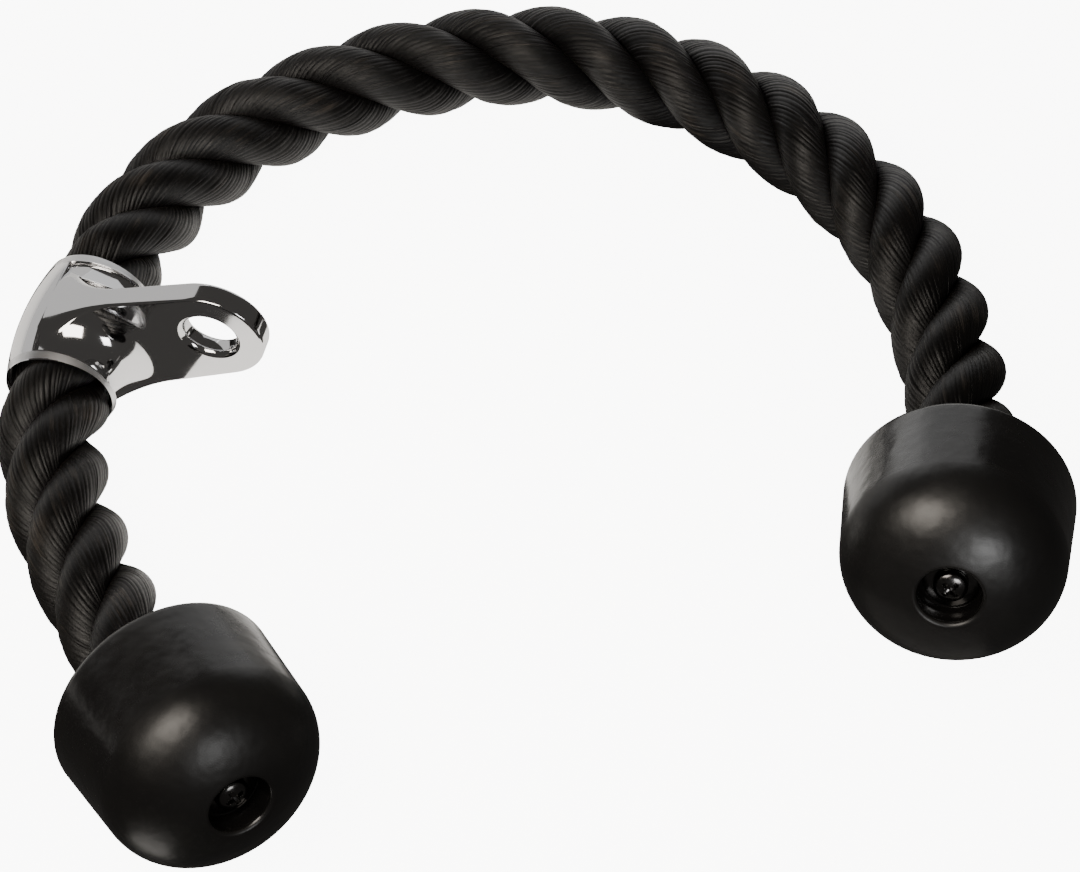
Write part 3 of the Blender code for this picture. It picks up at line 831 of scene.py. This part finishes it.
class TRICEPS_OT_make_eye_bracket(bpy.types.Operator):
    """Makes the chromed eye bracket with its flared eye"""
    bl_idname = "triceps.make_eye_bracket"
    bl_label = "Make eye bracket"

    def execute(self, context):
        sizes = context.scene.triceps_eye
        lug = math.cos(sizes.tilt) * EYE_LEVEL + math.sin(sizes.tilt) * UP
        piece = add_piece("eye_bracket_chromed", bracket_mesh(sizes, lug),
                          chrome_material(sizes), EYE_BODY)
        cutter = add_object("eye_cutter", eye_cutter(sizes, lug))
        hole = piece.modifiers.new("eye", "BOOLEAN")
        hole.operation = "DIFFERENCE"
        hole.solver = "EXACT"
        hole.object = cutter
        done = bpy.data.meshes.new_from_object(
            piece.evaluated_get(context.evaluated_depsgraph_get()))
        if not done.polygons:
            raise RuntimeError("the eye's hole leaves nothing of the bracket")
        piece.modifiers.clear()
        piece.data = done
        bpy.data.objects.remove(cutter, do_unlink=True)
        shade_with_edges(done, BRACKET_CREASE)
        height, radius = along_and_away(done, EYE_PLACE, EYE_ALONG)
        below_lip = sizes.sleeve_length / 2 - np.abs(height)
        rubbed = np.clip((RUBBED_DEPTH - below_lip) / RUBBED_RAMP, 0, 1)
        mark_points(done, "rubbed", rubbed * (radius > sizes.lip_radius - 0.5 * MM))
        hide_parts("eye_bracket")
        return {"FINISHED"}


# ---- the end caps

CAP_RIM = 0.0015  # rounding of the recess's rim
RIM_SUNK = 0.96  # share of it below the dome's edge
CAP_MOUTH = 0.0031  # rounding of the mouth
DOME_POWER = 2 / 2.05
DOME_CROWDING = 0.6  # below one, it brings the dome's points to the crease
CREASE_REACH = 0.003
WEB = 0.0073  # between the screw's recess and the ferrule
FERRULE_LENGTH = 0.0176
FERRULE_BORE = 0.0162
POCKET_BREAK = 0.0006  # broken edges of the pocket and of the recess's floor
FLOOR_BREAK = 0.0005
SATIN_FROM = 0.0005  # where the satin dome starts, before the crease
SATIN_RAMP = 0.0015
RECESS_TONE = -1.2  # the recess is smoother than the side, whose tone is 0
CAP_STEPS = 144
CAP_CREASE = 40  # degrees


def cap_frame(side):
    """Mouth, outward axis and a side direction of an end cap, from the rope's line."""
    line = smooth_line(route_points(), LINE_POINTS)
    mouth, beside = line[:2] if side == "left" else line[:-3:-1]
    axis = unit(mouth - beside)
    return mouth, axis, unit(np.cross(axis, UP))


def cap_profile(sizes):
    """Round the cap's section. From the recess's rim: the dome, a rounded square whose
    radius and height are the cosine and sine of one angle to the power 2/2.05, drawn in a
    little just after the crease by crease x (1 - exp(-height / 3 mm)); the side, which
    widens evenly towards the mouth; the rounded mouth; the rope's pocket; the ferrule's
    pocket; the screw hole; and the recess with its rounded rim."""
    rim = sizes.recess_radius + CAP_RIM
    rim_angle = math.acos((rim / sizes.crease_radius) ** (1 / DOME_POWER))
    angle = np.linspace(rim_angle ** DOME_CROWDING, 0.0, 80) ** (1 / DOME_CROWDING)
    height = (sizes.length - sizes.side_length) * np.sin(angle) ** DOME_POWER
    radius = sizes.crease_radius * np.cos(angle) ** DOME_POWER
    drawn_in = sizes.crease * (1 - np.exp(-height / CREASE_REACH))
    radius -= drawn_in * radius / sizes.crease_radius
    dome = np.stack([radius, sizes.side_length + height], -1)
    side = np.linspace((sizes.crease_radius, sizes.side_length),
                       (sizes.radius, CAP_MOUTH), 12)[1:-1]
    fillet = arc(CAP_MOUTH, 0.0, -math.pi / 2, 12, (sizes.radius - CAP_MOUTH, CAP_MOUTH))
    floor_at = sizes.length - sizes.recess_depth
    pocket = floor_at - WEB
    step_at = pocket - FERRULE_LENGTH
    round_over = arc(CAP_RIM, math.pi, math.pi / 2, 8, (rim, dome[0, 1] - RIM_SUNK * CAP_RIM))
    inside = np.array([
        (ROPE_BORE + POCKET_BREAK, 0.0), (ROPE_BORE, POCKET_BREAK), (ROPE_BORE, step_at),
        (FERRULE_BORE, step_at), (FERRULE_BORE, pocket), (SCREW_BORE, pocket),
        (SCREW_BORE, floor_at), (sizes.recess_radius - FLOOR_BREAK, floor_at),
        (sizes.recess_radius, floor_at + FLOOR_BREAK)])
    return np.concatenate([dome, side, fillet, inside, round_over[:-1]])


class TRICEPS_OT_make_end_caps(bpy.types.Operator):
    """Makes the two moulded rubber end caps"""
    bl_idname = "triceps.make_end_caps"
    bl_label = "Make end caps"

    def execute(self, context):
        sizes = context.scene.triceps_cap
        material = rubber_material(sizes)
        profile = cap_profile(sizes)
        for side in ("left", "right"):
            mouth, axis, across = cap_frame(side)
            name = side + "_end_cap_moulded"
            mesh = turned_mesh(name, profile, CAP_STEPS, mouth, axis, across, CAP_CREASE)
            along, away = along_and_away(mesh, mouth, axis)
            satin = np.clip((along - sizes.side_length + SATIN_FROM) / SATIN_RAMP, 0, 1)
            recess = (away < sizes.recess_radius + 0.2 * MM) & (satin > 0)
            mark_points(mesh, "dome", np.where(recess, RECESS_TONE, satin))
            piece = add_piece(name, mesh, material, ROPE_BODY)
            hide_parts(side + "_end_cap")
        return {"FINISHED"}


# ---- screws and washers

SHANK_RADIUS = 0.0025
SHANK_LENGTH = 0.0151
SHANK_TAPER = 0.0006
HEAD_ROWS = 40
HEAD_COLUMNS = 160
HEAD_CREASE = 38  # degrees
ROUNDER = 0.9  # power that fills out the crown
ARM_ROOT = 0.00075  # half width of the cross's arms at the root,
ARM_TAPER = 0.00025  # how much of it is gone at the tip,
ARM_WALL = 0.00016  # and the width of their sloping walls
CROSS_FALL = (1.25, 0.0034, 0.45)  # depth's share at the middle, its reach, and its least
WASHER_EDGE = 0.0002
WASHER_STEPS = 96
SEAT_GAP = 0.0003  # clear under the washer and under the head
SCREW_TURNS = {"left": 0.35, "right": 0.85}


def screw_head_mesh(name, sizes, seat, origin, axis, across, turn):
    """A pan head with a cross recess. The crown is a low ellipse, rim height plus crown
    height times sqrt(1 - (r/R)^2). The cross sinks it by its depth wherever a point lies
    inside an arm, whose half width narrows from root to tip, with a short sloping wall."""
    radius = sizes.head_radius
    arm = sizes.cross_reach
    r = np.linspace(0.0, 1.0, HEAD_ROWS)[1:, None] ** ROUNDER * radius
    u = np.linspace(0, 2 * math.pi, HEAD_COLUMNS, endpoint=False)[None, :]
    crown = np.sqrt(np.maximum(1 - (r / radius) ** 2, 0)) ** ROUNDER
    x = r * np.cos(u)
    y = r * np.sin(u)
    depth = np.zeros_like(x)
    for far, near in ((np.abs(x), np.abs(y)), (np.abs(y), np.abs(x))):
        half_width = ARM_ROOT - ARM_TAPER * np.clip(far / arm, 0, 1)
        inside = np.minimum(half_width - near, arm - far)
        depth = np.maximum(depth, np.clip(inside / ARM_WALL + 0.5, 0, 1))
    most, fall, least = CROSS_FALL
    depth = sizes.cross_depth * depth * np.clip(most - r / fall, least, 1)
    top = np.stack([x, y, sizes.head_rim + sizes.head_crown * crown - depth], -1)
    skirt = [(radius, 0.0), (SHANK_RADIUS, 0.0), (SHANK_RADIUS, SHANK_TAPER - SHANK_LENGTH),
             (SHANK_RADIUS - SHANK_TAPER, -SHANK_LENGTH)]
    ring = [np.stack([p * np.cos(u[0]), p * np.sin(u[0]), np.full(HEAD_COLUMNS, h)], -1)
            for p, h in skirt]
    grid = np.concatenate([top, np.stack(ring)])
    sunk = sizes.head_rim + sizes.head_crown - sizes.cross_depth
    poles = np.array([(0.0, 0.0, sunk), (0.0, 0.0, -SHANK_LENGTH)])
    local = np.concatenate([grid.reshape(-1, 3), poles])
    first = math.cos(turn) * across + math.sin(turn) * np.cross(axis, across)
    points = origin + local @ np.stack([first, np.cross(axis, first), axis]) + seat * axis
    faces = grid_quads(*grid.shape[:2], False).tolist() + end_fans(*grid.shape[:2])
    return shade_with_edges(clean_closed(mesh_of(name, points, faces)), HEAD_CREASE)


def washer_profile(sizes, seat):
    """A flat ring with slightly rounded edges."""
    outer = sizes.washer_radius - WASHER_EDGE
    inner = SCREW_BORE + WASHER_EDGE
    low = seat + WASHER_EDGE
    top = seat + sizes.washer_thickness - WASHER_EDGE
    corners = [(outer, low, -math.pi / 2), (outer, top, 0.0),
               (inner, top, math.pi / 2), (inner, low, math.pi)]
    return np.concatenate([arc(WASHER_EDGE, a, a + math.pi / 2, 4, (x, y))
                           for x, y, a in corners])


class TRICEPS_OT_make_cap_hardware(bpy.types.Operator):
    """Makes the cross-recess screws and their washers, and finishes the ferrules"""
    bl_idname = "triceps.make_cap_hardware"
    bl_label = "Make screws and washers"

    def execute(self, context):
        cap = context.scene.triceps_cap
        sizes = context.scene.triceps_hardware
        black = black_steel_material()
        plain = galvanised_steel_material()
        washer_at = cap.length - cap.recess_depth + SEAT_GAP
        head_at = washer_at + sizes.washer_thickness + SEAT_GAP
        for side in ("left", "right"):
            mouth, axis, across = cap_frame(side)
            name = side + "_cap_washer_turned"
            mesh = turned_mesh(name, washer_profile(sizes, washer_at), WASHER_STEPS,
                               mouth, axis, across)
            washer = add_piece(name, mesh, black, ROPE_BODY)
            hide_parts(side + "_cap_washer")
            name = side + "_cap_screw_headed"
            mesh = screw_head_mesh(name, sizes, head_at, mouth, axis, across, SCREW_TURNS[side])
            screw = add_piece(name, mesh, black, ROPE_BODY)
            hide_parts(side + "_cap_screw")
            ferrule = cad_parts[side + "_rope_ferrule"]
            for place in ferrule.material_slots:
                place.material = plain
        return {"FINISHED"}


# ---- the stage

SENSOR_WIDTH = 36.0
NEAREST_SEEN = 0.05
CAMERA_TARGET = Vector((0.0025, 0.0055, -0.0001))
FLOOR_LEVEL = -0.0012
CARD_LEVEL = -0.0011
FLOOR_REACH = 3.0
SKY_COLOUR = "#e6e0da"
SKY_STRENGTH = 0.075

# Name, colour, glow, and patches by their lowest and highest x and y
CARDS = [
    ("near_cards", "#ffffff", 0.95, [
        (-0.1085, -0.045, -0.030, 0.140), (0.030, -0.006, 0.085, 0.060),
        (-0.030, 0.090, 0.030, 0.150), (-0.161, 0.180, 0.236, 0.360),
        (-0.126, -0.192, -0.098, -0.165)]),
    ("far_cards", "#ffffff", 0.60, [
        (-3.1, -0.03, -0.2, 1.2), (-0.2, 0.04, -0.162, 1.2), (-0.162, 0.361, 0.25, 1.2)]),
    ("low_card", "#808080", 0.03, [(0.045, -0.132, 0.130, -0.084)]),
]

# Name, place, what it faces, width, height, watts, colour and spread in degrees
LIGHTS = [
    ("key", (-0.25, -0.33, 0.60), (-0.02, 0.0, 0.02), 0.40, 0.36, 4.0, "#fff6ea", 180),
    ("fill", (0.230, -0.535, 0.26), (0.12, -0.08, 0.05), 0.20, 0.16, 0.21, "#ffffff", 80),
    ("backdrop", (-1.67, 1.2, 0.54), (-1.67, 0.0, 0.54), 2.86, 1.08, 6.6, "#fffdfb", 180),
    ("window", (0.0375, 0.36, 0.16), (0.0375, 0.0, 0.16), 0.397, 0.32, 0.35, "#ffffff", 180),
]


def add_light(name, place, target, width, height, power, colour, spread):
    """A soft rectangular light that faces its target."""
    data = bpy.data.lights.new(name, "AREA")
    data.shape = "RECTANGLE"
    data.size = width
    data.size_y = height
    data.energy = power
    data.color = linear(colour)[:3]
    data.spread = math.radians(spread)
    light = add_object(name, data)
    light.location = place
    light.rotation_euler = (Vector(target) - Vector(place)).to_track_quat("-Z", "Y").to_euler()
    light.visible_camera = False


def add_sheets(name, patches, level, material, unseen):
    """Flat sheets at one level, each given by its lowest and highest x and y, and the
    kinds of ray that don't meet them."""
    corners = [(x, y, level) for x0, y0, x1, y1 in patches
               for x, y in ((x0, y0), (x1, y0), (x1, y1), (x0, y1))]
    quads = [tuple(range(4 * i, 4 * i + 4)) for i in range(len(patches))]
    sheets = add_object(name, mesh_of(name, corners, quads), material)
    for kind in unseen:
        setattr(sheets, "visible_" + kind, False)


class TRICEPS_OT_make_stage(bpy.types.Operator):
    """Sets the camera, the pale floor and the soft studio lights"""
    bl_idname = "triceps.make_stage"
    bl_label = "Make stage"

    def execute(self, context):
        sizes = context.scene.triceps_stage
        data = bpy.data.cameras.new("photo_camera")
        data.lens = sizes.lens
        data.sensor_width = SENSOR_WIDTH
        data.clip_start = NEAREST_SEEN
        camera = add_object("photo_camera", data)
        back = Vector((0.0, -math.cos(sizes.elevation), math.sin(sizes.elevation)))
        camera.location = CAMERA_TARGET + back * sizes.distance
        camera.rotation_euler = (math.pi / 2 - sizes.elevation, 0.0, 0.0)
        context.scene.camera = camera
        whole = [(-FLOOR_REACH, -FLOOR_REACH, FLOOR_REACH, FLOOR_REACH)]
        add_sheets("floor", whole, FLOOR_LEVEL, floor_material(sizes), ("glossy", "diffuse"))
        for name, colour, glow, patches in CARDS:
            add_sheets(name, patches, CARD_LEVEL, card_material(name, colour, glow),
                       ("camera", "diffuse", "shadow"))
        context.scene.world, node = emptied(bpy.data.worlds.new("studio"))
        sky = node("Background", {"Color": linear(SKY_COLOUR), "Strength": SKY_STRENGTH})
        node("OutputWorld", {"Surface": sky})
        for light in LIGHTS:
            add_light(*light)
        return {"FINISHED"}


# ---- the add-on

STEPS = [TRICEPS_OT_make_stage, TRICEPS_OT_make_rope, TRICEPS_OT_make_eye_bracket,
         TRICEPS_OT_make_end_caps, TRICEPS_OT_make_cap_hardware]
SETTINGS = [
    ("triceps_stage", TricepsStageSettings),
    ("triceps_rope", TricepsRopeSettings),
    ("triceps_eye", TricepsEyeSettings),
    ("triceps_cap", TricepsCapSettings),
    ("triceps_hardware", TricepsHardwareSettings),
]


class TRICEPS_PT_panel(bpy.types.Panel):
    """Lists the pieces' operators and their sizes"""
    bl_idname = "TRICEPS_PT_panel"
    bl_label = "Triceps rope"
    bl_space_type = "VIEW_3D"
    bl_region_type = "UI"
    bl_category = "Triceps Rope"

    def draw(self, context):
        for step in STEPS:
            self.layout.operator(step.bl_idname)
        for name, group in SETTINGS:
            box = self.layout.box()
            for key in group.__annotations__:
                box.prop(getattr(context.scene, name), key)


def register():
    for name, group in SETTINGS:
        bpy.utils.register_class(group)
        setattr(bpy.types.Scene, name, bpy.props.PointerProperty(type=group))
    for kind in (*STEPS, TRICEPS_PT_panel):
        bpy.utils.register_class(kind)


def unregister():
    for kind in (TRICEPS_PT_panel, *reversed(STEPS)):
        bpy.utils.unregister_class(kind)
    for name, group in reversed(SETTINGS):
        delattr(bpy.types.Scene, name)
        bpy.utils.unregister_class(group)


def main():
    register()
    bpy.ops.triceps.make_stage()
    bpy.ops.triceps.make_rope()
    bpy.ops.triceps.make_eye_bracket()
    bpy.ops.triceps.make_end_caps()
    bpy.ops.triceps.make_cap_hardware()


if __name__ == "__main__":
    main()
